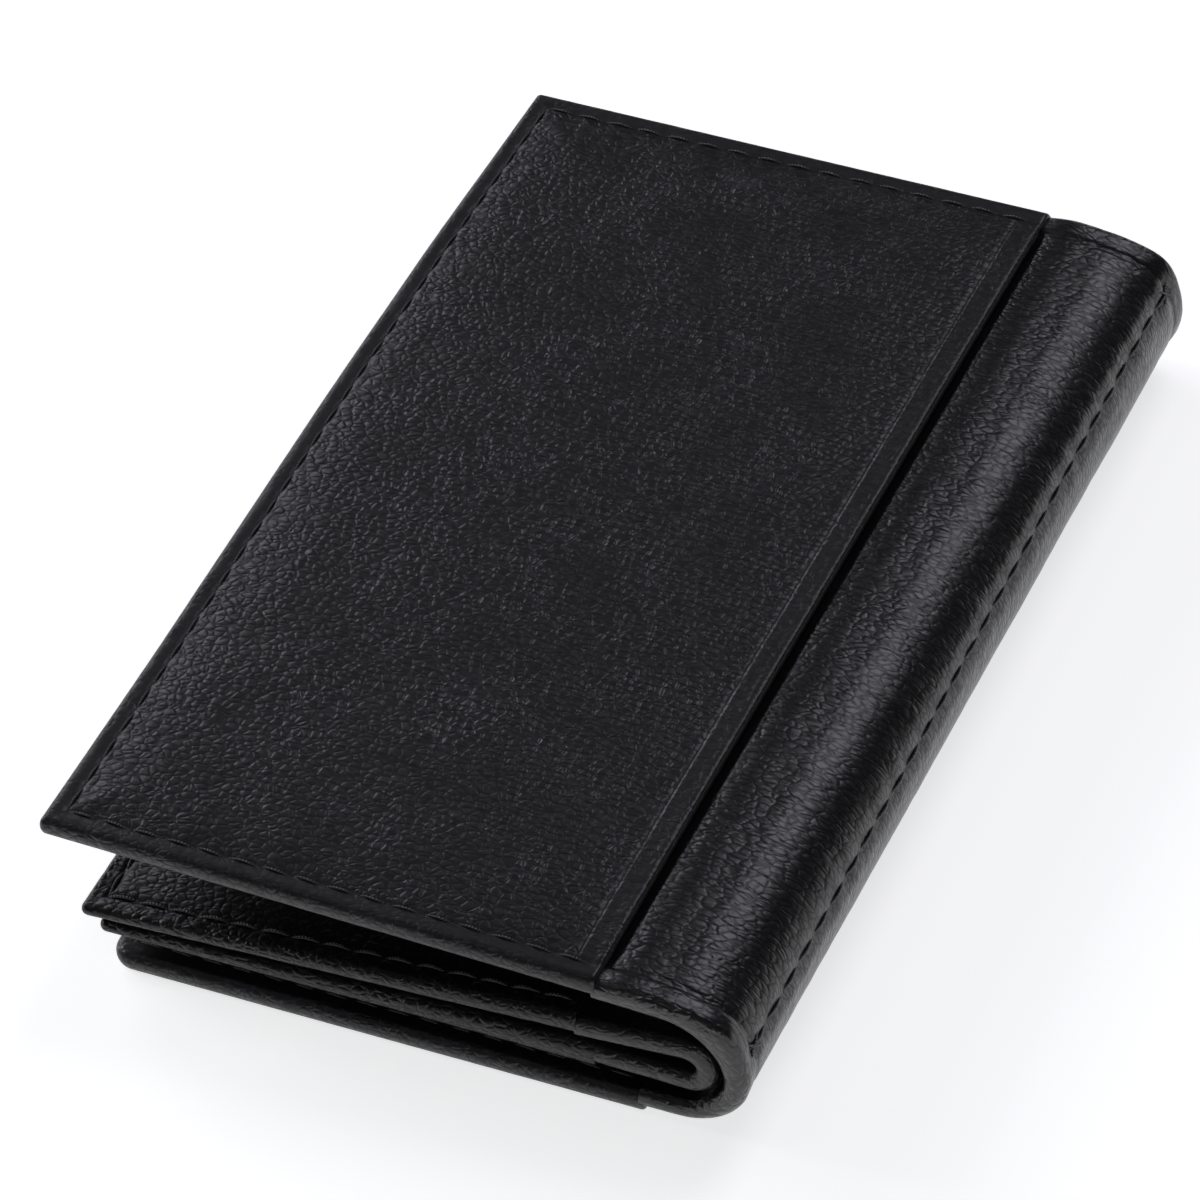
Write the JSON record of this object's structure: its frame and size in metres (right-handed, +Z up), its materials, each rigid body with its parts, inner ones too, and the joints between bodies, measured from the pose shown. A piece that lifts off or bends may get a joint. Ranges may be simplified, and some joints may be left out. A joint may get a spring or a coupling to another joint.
{
  "type": "bifold wallet",
  "caption": "Closed bifold leather wallet: a stitched shell with an outside slip pocket on each cover and a two-leaf booklet sewn into its spine.",
  "frame": {"origin": "bottom centre of the closed wallet's bounding box, on the plane the back slip pocket rests on", "axes": "+X from the free edges towards the spine, +Y along the spine, +Z up from the back cover to the front cover"},
  "size_m": [0.0714, 0.11, 0.019],
  "materials": {
    "black_leather": "smooth pebbled grain, satin sheen",
    "lining_leather": "fine grain, matt",
    "fibre_board": "bonded fibre board, matt",
    "black_thread": "waxed thread, slight gloss"
  },
  "bodies": {
    "back_cover": {"back_slip_pocket": "black_leather", "back_shell_leather": "black_leather", "back_stiffener": "fibre_board", "back_lining": "lining_leather", "back_stitching": "black_thread"},
    "spine_rear": {"spine_lower_leather": "black_leather", "spine_lower_lining": "lining_leather"},
    "spine": {"spine_upper_leather": "black_leather", "spine_upper_lining": "lining_leather", "spine_stitching": "black_thread", "booklet_fold_leather": "black_leather", "booklet_fold_lining": "lining_leather"},
    "front_cover": {"front_slip_pocket": "black_leather", "front_shell_leather": "black_leather", "front_stiffener": "fibre_board", "front_lining": "lining_leather", "front_stitching": "black_thread"},
    "rear_leaf": {"rear_leaf_leather": "black_leather", "rear_leaf_lining": "lining_leather", "rear_leaf_outer_pocket": "black_leather", "rear_leaf_inner_pocket": "black_leather", "rear_leaf_stitching": "black_thread"},
    "front_leaf": {"front_leaf_leather": "black_leather", "front_leaf_lining": "lining_leather", "front_leaf_outer_pocket": "black_leather", "front_leaf_inner_pocket": "black_leather", "front_leaf_stitching": "black_thread"}
  },
  "joints": [
    {"name": "rear_spine_bend", "type": "hinge", "parent": "back_cover", "child": "spine_rear", "pos_m": [0.03161, 0, 0.00143], "axis": [0, 1, 0], "range_deg": [0, 55]},
    {"name": "mid_spine_bend", "type": "hinge", "parent": "spine_rear", "child": "spine", "pos_m": [0.03572, 0, 0.00729], "axis": [0, 1, 0], "range_deg": [0, 55]},
    {"name": "front_spine_bend", "type": "hinge", "parent": "spine", "child": "front_cover", "pos_m": [0.0326, 0, 0.01456], "axis": [0, 1, 0], "range_deg": [0, 67.8]},
    {"name": "rear_leaf_turn", "type": "hinge", "parent": "spine", "child": "rear_leaf", "pos_m": [0.02938, 0, 0.00415], "axis": [0, 1, 0], "range_deg": [-50, 0]},
    {"name": "front_leaf_turn", "type": "hinge", "parent": "spine", "child": "front_leaf", "pos_m": [0.02938, 0, 0.01085], "axis": [0, 1, 0], "range_deg": [0, 10]}
  ],
  "couplings": [
    {"joint": "mid_spine_bend", "follows": "rear_spine_bend", "ratio": 1},
    {"joint": "front_spine_bend", "follows": "rear_spine_bend", "ratio": 1.2327},
    {"joint": "rear_leaf_turn", "follows": "rear_spine_bend", "ratio": -0.909},
    {"joint": "front_leaf_turn", "follows": "rear_spine_bend", "ratio": 0.1818}
  ]
}
